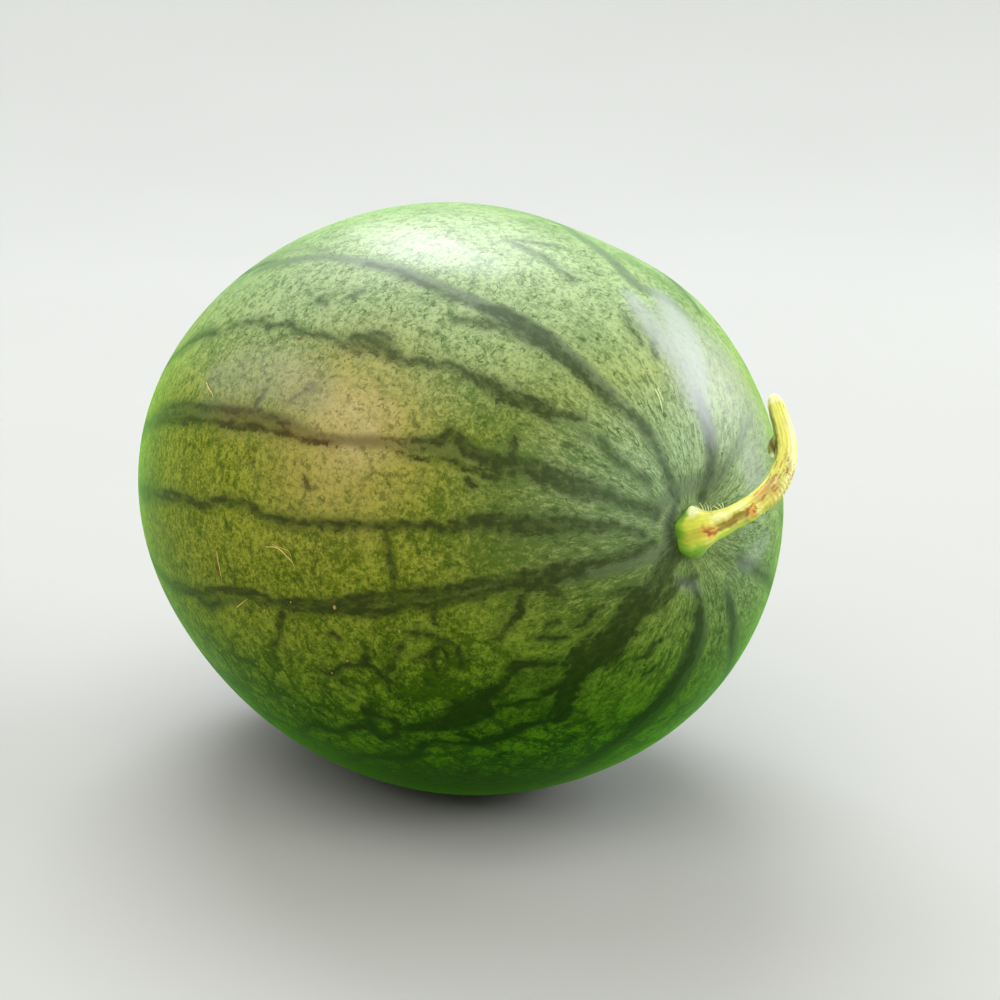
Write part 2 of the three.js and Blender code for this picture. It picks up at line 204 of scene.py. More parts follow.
SHADOWS = [
    (0.75, [(101, 35, 1.5), (90, 33, 2), (81, 31.5, 1.5), (73, 31, 1.5), (65, 30, 2), (50, 29, 2),
            (45, 28.5, 2.5), (41, 27.5, 3.6), (31.5, 25.5, 3.6), (26, 24.5, 2.8), (22, 23.5, 1.8)]),
    (0.5, [(24, 24, 2.6), (20, 22.5, 2.6), (15, 20.5, 2), (12, 22.5, 1.6), (8, 25.5, 1.2)]),
    (0.5, [(105, 29.5, 1.4), (97, 29, 1.4), (81, 29.5, 1)]),
    (0.4, [(22, 42, 1.5), (12, 45, 1.5)]),
    (0.8, [(111, 66, 2.4), (96, 66.5, 3.2), (86, 66, 3.5), (76, 66, 3.2), (66, 66, 2.6),
           (62.5, 66.5, 2), (58, 67.5, 1.4), (52, 67, 1.6), (47, 66, 2)]),
    (0.6, [(81.5, 68, 1.3), (80, 71, 1)]),
    (0.7, [(49, 65.5, 0.6), (46, 65.5, 1), (43, 65.5, 2.2), (40, 64, 3), (32.5, 63.5, 2.7)]),
    (0.5, [(70, 82.5, 1), (63, 83, 1.6), (52, 83, 1.8), (44, 83, 1.6), (36, 82.5, 1.5)]),
    (0.6, [(92, 101.5, 2), (84, 101, 2), (76, 99.5, 1)]),
    (0.7, [(66, 100, 1), (50, 100, 1.5), (34, 99.5, 1.5), (28, 99, 2)]),
    # Painted shade in the stem's dish, round the foot.
    (0.75, [(5, 20, 0.8), (4, 50, 1.6), (4, 90, 2), (4.5, 130, 1.8)]),
    (0.6, [(7, 75, 1.5), (6.5, 50, 2.5), (6, 20, 3), (6, -10, 3), (7, -35, 2.5)]),
    (0.65, [(19, -17.5, 1.5), (15, -21, 3.2), (11, -25, 3), (7, -28, 2.4)]),
    (0.7, [(22, 101, 1.6), (14, 102.5, 2.2), (8, 106, 2.6), (5, 110, 2)]),
    (0.35, [(5, 135, 3), (12, 133, 6), (20, 137, 8), (36, 136, 8), (45, 134, 5)]),
    (0.5, [(5, 174, 1.5), (9.5, 183, 2.2), (13, 186, 3)]),
    (0.9, [(12, 185.5, 1.5), (14.5, 187, 3.4), (19, 185, 4.6), (25, 181, 5),
           (30, 178, 4.5), (37, 174, 4), (45, 172, 3), (80, 167, 3)]),
    (0.75, [(11, 212, 1.2), (18, 212, 2.6), (35, 212, 3.5), (90, 212, 3.5)]),
    (0.5, [(9, 237, 0.8), (16, 241, 1.6), (40, 240, 3), (100, 238, 3)]),
    (0.75, [(100, -13, 2), (80, -12, 2), (65.5, -15, 2.2), (56.5, -12, 2.6), (45, -12.5, 2.6),
            (40, -12.5, 2.4), (39, -18, 1.8), (36, -27, 1.4)]),
    (0.45, [(35, 0, 1), (29, -4, 1.6), (26, -4.5, 1)]),
    (0.5, [(24.5, -54, 1), (20.5, -51, 1.8), (16, -48, 2.2), (13, -45, 2.4), (9, -39, 2.2),
           (6.5, -33, 2), (4.5, -26, 1.6)]),
]
# A painted reflection that hides the flecks, and a fainter one beside it.
REFLECTION_BAND = [(38, -20.5, 3), (33, -20.5, 7), (27.5, -19, 8), (23, -18, 7), (19, -17.5, 5),
        (16.5, -19.5, 2), (13.5, -23.5, 0.5)]
REFLECTION_STREAK = [(37, -8, 2), (34, -8, 4), (31, -9, 5), (27, -10, 4.5), (24, -11, 3)]
# Paler under the stem, painted with the same reflection.
PALE_UNDER = [(7, 158, 0), (7.5, 178, 0.5), (9, 210, -4), (11, 235, 1), (14, 248, 3),
              (17, 255, 3)]
HAZE_AND_REFLECTION = [(88, 60, 4), (78, 58.5, 7), (69, 58, 7), (61, 60, 5)]  # a thin bloom high on the side, with painted reflection
GLARE = [(86, 22, 1), (77, 21, 5), (69, 22, 7), (62, 22, 7), (56, 21, 6), (50, 18, 3)]
BROWNED = [(84, 66, 2), (78, 66, 4), (68, 66.5, 4), (60, 67.5, 4), (50, 67, 3)]  # by the sun
SCABS = [[(85, 91, 0.4), (83.5, 90.5, 0.3)], [(82.5, 92, 0.2), (82.5, 94, 0.8), (82, 96, 0.3)]]
FIBRES = [  # dry fibres stuck to the rind: radius in mm, and (theta, phi) along each
    (0.19, [(67.5, 89), (65, 89), (63, 90.5), (62, 91.5), (61.5, 93)]),
    (0.11, [(66, 88.5), (64, 89), (62.5, 89.5), (62, 91)]),
    (0.18, [(79, 101.5), (77, 100.5), (76, 100), (75, 99.5)]),
    (0.2, [(90.5, 61), (89, 62), (87, 63), (86.5, 63.5)]),
    (0.16, [(81.5, 91), (81.5, 93), (81.5, 95), (81.5, 96.5)]),
]
SCRATCHES = [(0.15, [(20, 5), (19, 5), (18, 5.5), (16.5, 7)]), (0.12, [(20, 3.5), (19, 3.5), (18, 4)])]
SPECKS = [  # grains of dirt: theta, phi, radius in mm
    (70, 50, 0.5), (68, 49.5, 0.45), (46, 14, 0.4), (42, -17.5, 0.5), (55, 100.5, 0.8),
    (71, 101.5, 0.5), (64, 99.5, 0.4), (56.5, 112.5, 0.4), (61, 115, 0.4), (45, 107, 0.4),
    (76.5, 123.5, 0.4),
]
FAR_STRIPES = [(238, 10), (262, 26), (284, 30), (306, 38), (327, 40)]  # phi, theta at the start
BLOSSOM_STRIPES = [(phi, 96) for phi in (347, 33, 50, 68, 83, 102, 122, 144, 167, 190, 212)]
# How they run on: theta from point to point, degrees of sway, half width in mm, and from where
# to where past its start a stripe grows to that width.
FAR_HABIT = dict(seed=SEED, step=6.5, sway=1.1, steady=1, width=1.6, varied=1.0, least=0.3,
                 grown=(0, 14), thinned=0.8, shade=0.6)
BLOSSOM_HABIT = dict(seed=SEED + 1, step=6, sway=0.9, steady=0, width=1.5, varied=0.8, least=0.4,
                     grown=(-4, 26), thinned=0.7, shade=0.55)
THIN_OUT = (145, 172)  # theta from which stripes thin out, and at which they end
SHADOW_BEYOND = 2.5  # mm
SHADOW_EDGE = (-2.5, 1.5)  # mm inside a shadow's outline where it starts, and where it is full
VEIN_HALO = (5.0, 0.35)  # mm that the rind darkens before a vein, and by how much


def grown_stripes(stripes, seed, step, sway, steady, width, varied, least, grown, thinned, shade):
    """Stripes that run on out of sight, wandering as those in front do, and their shadows."""
    rng = np.random.default_rng(seed)
    veins, shadows = [], []
    for phi, start in stripes:
        theta = np.arange(start, THIN_OUT[1], step)
        wander = np.cumsum(rng.normal(0, sway, len(theta)))
        wander -= steady * np.linspace(0, wander[-1], len(theta))
        half = np.abs(rng.normal(width, varied, len(theta))) + least
        half *= smoothstep(theta, start + grown[0], start + grown[1])
        half *= 1 - thinned * smoothstep(theta, *THIN_OUT)
        veins.append(list(zip(theta, phi + wander, half)))
        shadows.append((shade, list(zip(theta, phi + wander, half + SHADOW_BEYOND))))
    return veins, shadows


# ---- Small maths ----

def smoothstep(x, low, high):
    t = np.clip((x - low) / (high - low), 0, 1)
    return t * t * (3 - 2 * t)


def turn(a, b):
    """Angle between two directions, 0 to 180 degrees."""
    return np.abs((a - b + 180) % 360 - 180)


def direction(theta, phi):
    return np.stack(
        [np.cos(theta) + 0 * phi, -np.sin(theta) * np.sin(phi), np.sin(theta) * np.cos(phi)], -1)


def unit(v):
    return v / np.linalg.norm(v, axis=-1, keepdims=True)


def bands(around, rings, first=0):
    """Faces between neighbouring rings of vertices."""
    this = np.arange(around)
    after = (this + 1) % around
    for near in first + around * np.arange(rings - 1):
        far = near + around
        yield from zip(near + this, far + this, far + after, near + after)


def fan(tip, first, around):
    """Faces from a ring of vertices to a tip."""
    return [(tip, first + a, first + (a + 1) % around) for a in range(around)]


# ---- Fruit ----

def fruit_radius(theta, phi):
    c, s = np.cos(theta), np.sin(theta)
    r = 1 / np.hypot(c / HALF_LENGTH, s / HALF_WIDTH)
    r = r * (1 - BLOSSOM_END_FULLER * (5 * c**3 - 3 * c) / 2)
    r = r * (1 + SHOULDERS_FULLER * (35 * c**4 - 30 * c**2 + 3) / 8)
    oval = OVAL[0] * np.cos(2 * (phi - math.radians(OVAL[1])))
    three_sided = THREE_SIDED[0] * np.cos(3 * (phi - math.radians(THREE_SIDED[1])))
    r = r * (1 + s * s * (oval + three_sided))
    here = direction(theta, phi)
    for start, turned, spread, height in SWELLINGS:
        there = direction(np.radians(start), np.radians(turned))
        away = np.arccos(np.clip(here @ there, -1, 1))
        r = r + height * MM * np.exp(-((away / math.radians(spread)) ** 2))
    return r


def dished(x, rho, phi, pole, flat, rim, depth, puckers, pucker, fade):
    """Distance along the axis at `rho` from it once an end is dished and puckered."""
    sunk = pole - depth
    risen = sunk + (x - sunk) * smoothstep(rho, flat, rim)
    uneven = np.cos(puckers * phi + 1.3 * np.sin(2 * phi) + 0.8 * np.cos(3 * phi))
    within = smoothstep(rho, flat, 0.6 * rim) * (1 - smoothstep(rho, 0.6 * rim, fade))
    return risen - pucker * within * (0.5 + 0.5 * uneven)


def rind_point(theta, phi):
    """Points of the rind in the fruit's own frame; angles in radians."""
    p = direction(theta, phi) * fruit_radius(theta, phi)[..., None]
    x, rho = p[..., 0], np.hypot(p[..., 1], p[..., 2])
    poles = [fruit_radius(np.array(end), np.array(0.0)) for end in (0.0, math.pi)]
    stem_end = dished(x, rho, phi, poles[0], **STEM_DISH)
    blossom_end = -dished(-x, rho, phi, poles[1], **BLOSSOM_DISH)
    raised = 1 - smoothstep(rho, BLOSSOM_SCAR["flat"], BLOSSOM_SCAR["radius"])
    blossom_end = blossom_end - BLOSSOM_SCAR["height"] * raised
    p[..., 0] = np.where(x > 0, stem_end, blossom_end)
    return p


def rind_at(theta, phi):
    """Points of the rind in the fruit's own frame; angles in degrees."""
    return rind_point(np.radians(theta), np.radians(phi))


def placed(p):
    """From the fruit's own frame to the row's."""
    c, s = math.cos(AXIS_RISE), math.sin(AXIS_RISE)
    x, y, z = p[..., 0], p[..., 1], p[..., 2]
    return np.stack([x * c - z * s, y, x * s + z * c + LIFT], -1)


def pressed(p):
    """The underside is pressed flat on the floor, with a soft edge."""
    z = p[..., 2]
    edge = np.where(z < -REST_EDGE, 0, (z + REST_EDGE) ** 2 / (4 * REST_EDGE))
    p[..., 2] = np.where(z < REST_EDGE, edge, z)
    return p


def rind_grid():
    """Angles of every vertex, one pole first and the other last, and the faces."""
    around, rings = RIND_GRID
    even = np.linspace(0, math.pi, rings + 1)[1:-1]
    theta = even - CROWD_ENDS / 2 * np.sin(2 * even)
    phi = np.arange(around) * 2 * math.pi / around
    theta, phi = [g.ravel() for g in np.meshgrid(theta, phi, indexing="ij")]
    theta = np.concatenate([[0], theta, [math.pi]])
    phi = np.concatenate([[0], phi, [0]])
    tip = len(theta) - 1
    faces = [*fan(0, 1, around), *bands(around, rings - 1, 1)]
    faces += [(b, a, end) for end, a, b in fan(tip, tip - around, around)]
    return theta, phi, faces


# ---- Stripes as values on the rind ----

FAR = 15.0  # mm: strokes further away than this don't matter
STROKE_STEP = 0.9  # mm between the points that a stroke is measured from
CLEAR = 3.2  # mm beyond a vein's edge within which its exact distance is stored
LANES = 3
COMPARED_AT_ONCE = 2_000_000  # pairs of points, so that memory stays small


def stroke_points(stroke):
    """Points of the rind along a stroke, in mm, and the half width at each."""
    theta, phi, half = np.array(stroke, float).T
    corners = rind_at(theta, phi) / MM
    run = np.concatenate([[0], np.cumsum(np.linalg.norm(np.diff(corners, axis=0), axis=1))])
    at = np.linspace(0, run[-1], int(run[-1] / STROKE_STEP) + 2)
    theta, phi, half = [np.interp(at, run, v) for v in (theta, phi, half)]
    return rind_at(theta, phi) / MM, half


def close_to(rind_mm, line, reach):
    """Which points of the rind are in a box round a line, in parts small enough to compare."""
    near = ((rind_mm > line.min(0) - reach) & (rind_mm < line.max(0) + reach)).all(1)
    near = np.flatnonzero(near)
    return np.array_split(near, 1 + len(near) * len(line) // COMPARED_AT_ONCE)


def stroke_margin(rind_mm, stroke):
    """How far each point of the rind is inside a stroke's edge, in mm."""
    line, half = stroke_points(stroke)
    margin = np.full(len(rind_mm), -FAR)
    for near in close_to(rind_mm, line, FAR + half.max()):
        away = np.linalg.norm(rind_mm[near, None] - line[None], axis=2)
        margin[near] = np.maximum((half - away).max(1), -FAR)
    return margin


def stroke_offsets(rind_mm, stroke):
    """Points near a stroke, their signed distance from its line, and its half width there."""
    line, half = stroke_points(stroke)
    along = unit(np.gradient(line, axis=0))
    across = unit(np.cross(unit(line), along))
    found = []
    for near in close_to(rind_mm, line, CLEAR + half.max() + STROKE_STEP):
        gap = rind_mm[near, None] - line[None]
        nearest = np.linalg.norm(gap, axis=2).argmin(1)
        gap = gap[np.arange(len(near)), nearest]
        side = (gap * across[nearest]).sum(1)
        beyond = np.maximum(np.abs((gap * along[nearest]).sum(1)) - 0.6 * STROKE_STEP, 0)
        width = half[nearest] - (np.hypot(side, beyond) - np.abs(side))
        seen = width - np.abs(side) > -CLEAR
        found.append((near[seen], side[seen], width[seen]))
    return [np.concatenate(column) for column in zip(*found)]


def vein_lanes(rind_mm, strokes):
    """Signed distance from the nearest vein and its half width, in each of three lanes.

    A signed distance stays exact between vertices, however thin the vein is. Veins that run
    side by side go into different lanes, because the sign flips halfway between two.
    """
    offset = np.zeros((len(rind_mm), LANES))
    width = np.full((len(rind_mm), LANES), -FAR)
    for stroke in strokes:
        near, side, half = stroke_offsets(rind_mm, stroke)
        lane = (width[near] > -FAR).sum(0).argmin()
        nearer = half - np.abs(side) > width[near, lane] - np.abs(offset[near, lane])
        offset[near[nearer], lane] = side[nearer]
        width[near[nearer], lane] = half[nearer]
    return offset, width


def veins_and_shadows(rind_mm):
    """Every vein, and how dark the rind is under the soft bands and beside the veins."""
    veins, shadows = list(VEINS), list(SHADOWS)
    for stripes, habit in ((FAR_STRIPES, FAR_HABIT), (BLOSSOM_STRIPES, BLOSSOM_HABIT)):
        more_veins, more_shadows = grown_stripes(stripes, **habit)
        veins += more_veins
        shadows += more_shadows
    inside = np.max([stroke_margin(rind_mm, stroke) for stroke in veins], 0)
    halo, strength = VEIN_HALO
    shadow = strength * smoothstep(inside, -halo, 0)
    for strength, stroke in shadows:
        soft = smoothstep(stroke_margin(rind_mm, stroke), *SHADOW_EDGE)
        shadow = np.maximum(shadow, strength * soft)
    return veins, shadow


# ---- Meshes ----

def link(name, data):
    """A new object of the scene."""
    thing = bpy.data.objects.new(name, data)
    bpy.context.scene.collection.objects.link(thing)
    return thing


def smooth_mesh(name, vertices, faces, material):
    mesh = bpy.data.meshes.new(name)
    mesh.from_pydata(np.asarray(vertices).tolist(), [], [tuple(map(int, f)) for f in faces])
    mesh.update()
    mesh.shade_smooth()
    mesh.materials.append(material)
    return link(name, mesh)


def make_piece(name, vertices, faces, material, slot, *nodes):
    """A piece of the part, which may stand in for nodes of the solids."""
    piece = smooth_mesh(name, vertices, faces, material)
    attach(piece, "root")
    if nodes:
        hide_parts(*nodes)
    return piece


def give(piece, **values):
    """Stores per-vertex numbers or vectors on a piece for its material."""
    for name, value in values.items():
        value = np.asarray(value, np.float32)
        kind, field = ("FLOAT", "value") if value.ndim == 1 else ("FLOAT_VECTOR", "vector")
        piece.data.attributes.new(name, kind, "POINT").data.foreach_set(field, value.ravel())


# ---- Materials ----

class Signal:
    """A number that varies over a surface. Arithmetic with it adds nodes to its graph."""

    def __init__(self, graph, socket):
        self.graph = graph
        self.socket = socket

    def __add__(self, other):
        return self.graph.math("ADD", self, other)

    def __sub__(self, other):
        return self.graph.math("SUBTRACT", self, other)

    def __mul__(self, other):
        return self.graph.math("MULTIPLY", self, other)

    def step(self, low, high, start=0, end=1):
        """Smooth step from low to high, as a number from start to end."""
        inputs = {"Value": self, "From Min": low, "From Max": high, "To Min": start, "To Max": end}
        outputs = self.graph.node("MapRange", inputs, interpolation_type="SMOOTHSTEP")
        return Signal(self.graph, outputs[0])


class Graph:
    """Builds one material's nodes. Any input may be a plain value, a signal or an output."""

    def __init__(self, name):
        self.material = bpy.data.materials.new(name)
        self.material.use_nodes = True
        self.nodes = self.material.node_tree.nodes
        self.links = self.material.node_tree.links
        self.nodes.clear()

    def node(self, kind, inputs, **settings):
        """Adds a node and gives its outputs."""
        node = self.nodes.new("ShaderNode" + kind)
        for key, value in settings.items():
            setattr(node, key, value)
        for key, value in inputs.items():
            if isinstance(value, Signal):
                value = value.socket
            if isinstance(value, bpy.types.NodeSocket):
                self.links.new(value, node.inputs[key])
            else:
                node.inputs[key].default_value = value
        return node.outputs

    def value(self, name):
        """A number stored on the mesh."""
        return Signal(self, self.node("Attribute", {}, attribute_name=name)["Fac"])

    def vector(self, name):
        return self.node("Attribute", {}, attribute_name=name)["Vector"]

    def place(self):
        return self.node("TexCoord", {})["Object"]

    def math(self, operation, *inputs):
        return Signal(self, self.node("Math", dict(enumerate(inputs)), operation=operation)[0])

    def largest(self, first, *others):
        for other in others:
            first = self.math("MAXIMUM", first, other)
        return first

    def vector_math(self, operation, *inputs):
        return self.node("VectorMath", dict(enumerate(inputs)), operation=operation)[0]

    def noise(self, where, size_mm, detail=2, roughness=0.5):
        """Noise about 0, nearly all within -0.3 to 0.3, with features of about that size."""
        inputs = {"Vector": where, "Scale": 1 / (size_mm * MM), "Detail": detail,
                  "Roughness": roughness}
        return Signal(self, self.node("TexNoise", inputs)["Fac"]) - 0.5

    def mix(self, share, a, b, blend="MIX"):
        """Colour a, or colour b where share is 1."""
        a, b = [(*c, 1) if isinstance(c, tuple) else c for c in (a, b)]
        return self.node("Mix", {0: share, 6: a, 7: b}, data_type="RGBA", blend_type=blend)[2]

    def finish(self, height, height_mm, **surface):
        """The surface shader, with a bump of that height."""
        bump = self.node("Bump", {"Height": height, "Distance": height_mm * MM})
        inputs = {key.replace("_", " "): value for key, value in surface.items()}
        shader = self.node("BsdfPrincipled", {"Normal": bump[0], **inputs})
        self.node("OutputMaterial", {"Surface": shader[0]})
        return self.material


DARK_GREEN = (0.005, 0.03, 0.001)
# A list has the colours of one thing: plain, on top and near the stem, low down, and sunburnt.
# Low down the darker green is partly the rind's own and partly painted shade.
# On top and near the stem the grey is partly bloom and partly painted sky reflection.
RIND_PALE = [(0.285, 0.3, 0.034), (0.33, 0.43, 0.25), (0.066, 0.225, 0.002)]
RIND_MID = [(0.064, 0.098, 0.005), (0.115, 0.185, 0.08), (0.012, 0.064, 0.001)]
VEIN_TINTS = [(0.036, 0.043, 0.01), (0.034, 0.056, 0.024), DARK_GREEN, (0.07, 0.048, 0.016)]
SHADOW_TINTS = [(0.075, 0.092, 0.022), (0.12, 0.15, 0.125), (0.01, 0.05, 0.001),
                (0.12, 0.092, 0.034)]
DOT = (0.03, 0.052, 0.01)
TAN = (0.42, 0.32, 0.1)
PALE_PINK = (0.58, 0.44, 0.24)
# Colour of the painted reflection on the shoulder by the stem.
REFLECTION_TINT = (0.38, 0.37, 0.45)
HAZE_REFLECTION_TINT = (0.36, 0.35, 0.25)
RIM_GLOW_TINT = (0.85, 1.2, 0.7)  # multiplies the rind's colour on the far side under the stem: painted green rim light
CORK = (0.19, 0.1, 0.035)
SCAB = (0.075, 0.05, 0.008)
GROUND_SPOT = (0.42, 0.4, 0.14)
CELL_SIZE = 13  # mm
WARP_SIZE, WARP = 8, 6  # mm: how far apart, and how far, the cells and forks are bent


def rind_material():
    g = Graph("rind")
    where = g.place()
    names = ("shaded_low_side", "near_stem", "bloom_and_sky_reflection", "shadow", "blush", "painted_reflection", "painted_underside_shade")
    shaded_low_side, near_stem, bloom_and_sky_reflection, shadow, blush, painted_reflection, painted_underside_shade = map(g.value, names)
    # Flecks fade under the painted reflection.
    bare = painted_reflection.step(0.1, 0.9, 1, 0.45)
    even = near_stem.step(0, 0.7, 1, 0.25)
    warp = g.node("TexNoise", {"Vector": where, "Scale": 1 / (WARP_SIZE * MM), "Detail": 2})
    bent = g.vector_math("MULTIPLY_ADD", warp["Color"], (WARP * MM,) * 3, where)
    streaked = g.vector("streak")

    def by_zone(plain, on_top, low, sunburnt=None):
        """The colour for each part of the rind, blended."""
        colour = g.mix(shaded_low_side, g.mix(bloom_and_sky_reflection, plain, on_top), low)
        return g.mix(blush.step(0.28, 0.7), colour, sunburnt) if sunburnt else colour

    def flecks(size_mm, detail, roughness):
        """Noise that is drawn out into radial streaks near the stem."""
        plain = g.noise(where, size_mm, detail, roughness)
        drawn = g.noise(streaked, size_mm * 1.15, detail, roughness)
        return Signal(g, g.node("Mix", {0: near_stem, 2: plain, 3: drawn})[0]) * bare

    def threads(noise, width, mask, low, high):
        """Short winding lines, where the noise crosses 0 and the mask is high."""
        line = g.math("ABSOLUTE", noise).step(0, width, 1, 0)
        return line * mask.step(low, high) * bare

    fine = flecks(2, 3, 0.9)
    grit = g.noise(where, 0.9, 2, 0.6)
    clump = g.noise(where, 6.5, 3, 0.6)
    patch = g.noise(where, 21)

    # Rounded paler cells with darker green between them, and here and there a forked crack.
    inputs = {"Vector": bent, "Scale": 1 / (CELL_SIZE * MM), "Randomness": 1}
    cells = Signal(g, g.node("TexVoronoi", inputs, feature="DISTANCE_TO_EDGE")["Distance"])
    gap = (cells + (clump + fine) * 0.2).step(0, 0.16, 1, 0) * even * shaded_low_side.step(0, 0.8, 0.3, 1)
    some = g.noise(where, 14) + shaded_low_side * 0.13
    crack = (cells + fine * 0.16).step(0, 0.08, 1, 0) * even * some.step(0.07, 0.18)

    # Fine mottling, with painted light that makes it paler towards the top and painted shade that
    # darkens it towards the bottom.
    cloudy = shaded_low_side.step(0, 0.6, 0.55, 1.1) * even
    tone = fine * 2.6 + grit * 0.7 + clump * cloudy + patch * 0.75
    tone = tone - gap * 0.4 + g.value("painted_top_light") * 0.13 - shadow * 0.15
    pale_share = (tone * bare - painted_underside_shade).step(-0.55, 0.5)
    colour = g.mix(pale_share, by_zone(*RIND_MID), by_zone(*RIND_PALE))

    # Blush where the sun bleached the rind, and a pale pink spot that is partly bleached and partly a
    # painted glow of reflected light.
    colour = g.mix(blush * (fine + patch).step(-0.3, 0.2, 0.4, 1), colour, TAN)
    bleach_and_glow = g.value("bleach_and_glow") * (fine + clump).step(-0.2, 0.25, 0.3, 1)
    colour = g.mix(bleach_and_glow, colour, PALE_PINK)
    # Painted shade: darker green towards the bottom, where the fruit meets the floor.
    colour = g.mix(painted_underside_shade * 0.8, colour, DARK_GREEN)

    # Sparse darker dots, squiggles and forked marks.
    dots = (flecks(3, 2, 0.6) + patch * 0.3).step(0.08, 0.18, 0, 0.5)
    squiggles = threads(flecks(3.4, 1, 0.5), 0.05, g.noise(where, 3.6), 0.02, 0.09)
    forks = threads(g.noise(bent, 9.5), 0.045, g.noise(where, 8) + shaded_low_side * 0.07, 0.01, 0.07)
    marks = g.largest(squiggles * bloom_and_sky_reflection.step(0, 0.8, 0.5, 0.75), crack * 0.5,
                      forks * even * shaded_low_side.step(0, 0.5, 0.15, 0.75))
    colour = g.mix(g.largest(marks, dots), colour, g.mix(shaded_low_side, DOT, DARK_GREEN))

    # Stripes: soft shadows, and jagged veins made up of strands.
    soft = shadow + ((patch + clump) * 0.5 + fine * 0.7)
    colour = g.mix(soft.step(0.05, 0.95, 0, 0.85), colour, by_zone(*SHADOW_TINTS))
    strand = g.noise(g.vector("strand"), 2.4, 3, 0.65)
    ragged = strand * 3.6 + (g.noise(g.vector("strand"), 7) * 3.2 + fine * 5.5)
    wobble = g.noise(where, 4, 3, 0.6) * 3.6 + fine * 2
    side = g.vector_math("ABSOLUTE", g.vector_math("ADD", g.vector("vein_side"), wobble))
    margin = g.vector_math("SUBTRACT", g.vector("vein_half"), side)
    margin = g.largest(*g.node("SeparateXYZ", {"Vector": margin}))
    margin = margin + ragged * g.value("bold").step(0.5, 3.5, 0.75, 1.4)
    inside = margin.step(bloom_and_sky_reflection.step(0.2, 0.8, -1.5, -2.1), bloom_and_sky_reflection.step(0.2, 0.8, 0.5, 1))
    least, most = shaded_low_side.step(0, 0.5, 0.5, 0.8), bloom_and_sky_reflection.step(0.2, 0.9, 1, 0.7)
    strands = (strand + clump * 0.5).step(-0.2, 0.12, least, most)
    colour = g.mix(inside * strands, colour, by_zone(*VEIN_TINTS))

    # Thin bloom with painted reflection, a painted reflection that hides the flecks, painted green rim
    # light on the far side under the stem, and scabs.
    colour = g.mix(g.value("haze_and_reflection") * fine.step(-0.25, 0.25, 0.15, 0.5), colour, HAZE_REFLECTION_TINT)
    colour = g.mix(painted_reflection * fine.step(-0.25, 0.25, 0.35, 0.65), colour, REFLECTION_TINT)
    colour = g.mix(g.value("painted_rim_glow"), colour, g.mix(1, colour, RIM_GLOW_TINT, "MULTIPLY"))
    colour = g.mix((g.value("scab") + fine * 2.5).step(0.35, 0.8), colour, SCAB)

    # Cork on the blossom scar, and the pale spot on the underside.
    corked = (g.value("cork") + fine * 1.8).step(0.35, 0.65)
    uneven = (clump + fine).step(-0.25, 0.25, 0.55, 1.2)
    colour = g.mix(corked, colour, g.mix(1, CORK, uneven, "MULTIPLY"))
    ground = (g.value("ground") + patch * 0.8).step(0.25, 0.9, 0, 0.7)
    colour = g.mix(ground, colour, GROUND_SPOT)

    height = fine * 0.6 + grit * 0.2 - marks * 0.25 + corked * 0.6
    roughness = (patch + fine * 0.5).step(-0.4, 0.4, 0.36, 0.46) + corked * 0.3
    return g.finish(height, 0.25, Base_Color=colour, Roughness=roughness,
                    Coat_Weight=g.value("gloss"), Coat_Roughness=0.4,
                    Specular_IOR_Level=0.02, Specular_Tint=(0.75, 1, 0.4, 1),
                    Sheen_Weight=0.4, Sheen_Roughness=0.3, Sheen_Tint=(0.22, 0.8, 0.02, 1))


# ---- Rind ----

MM_A_DEGREE = 2  # along a meridian, roughly
STREAK_RADIUS, STREAK_SHARE = 65, 0.65  # mm, and the share that lengths are shortened to
STRAND_RADIUS, STRAND_SHARE = 22, 0.3  # for the strands that make up a stripe


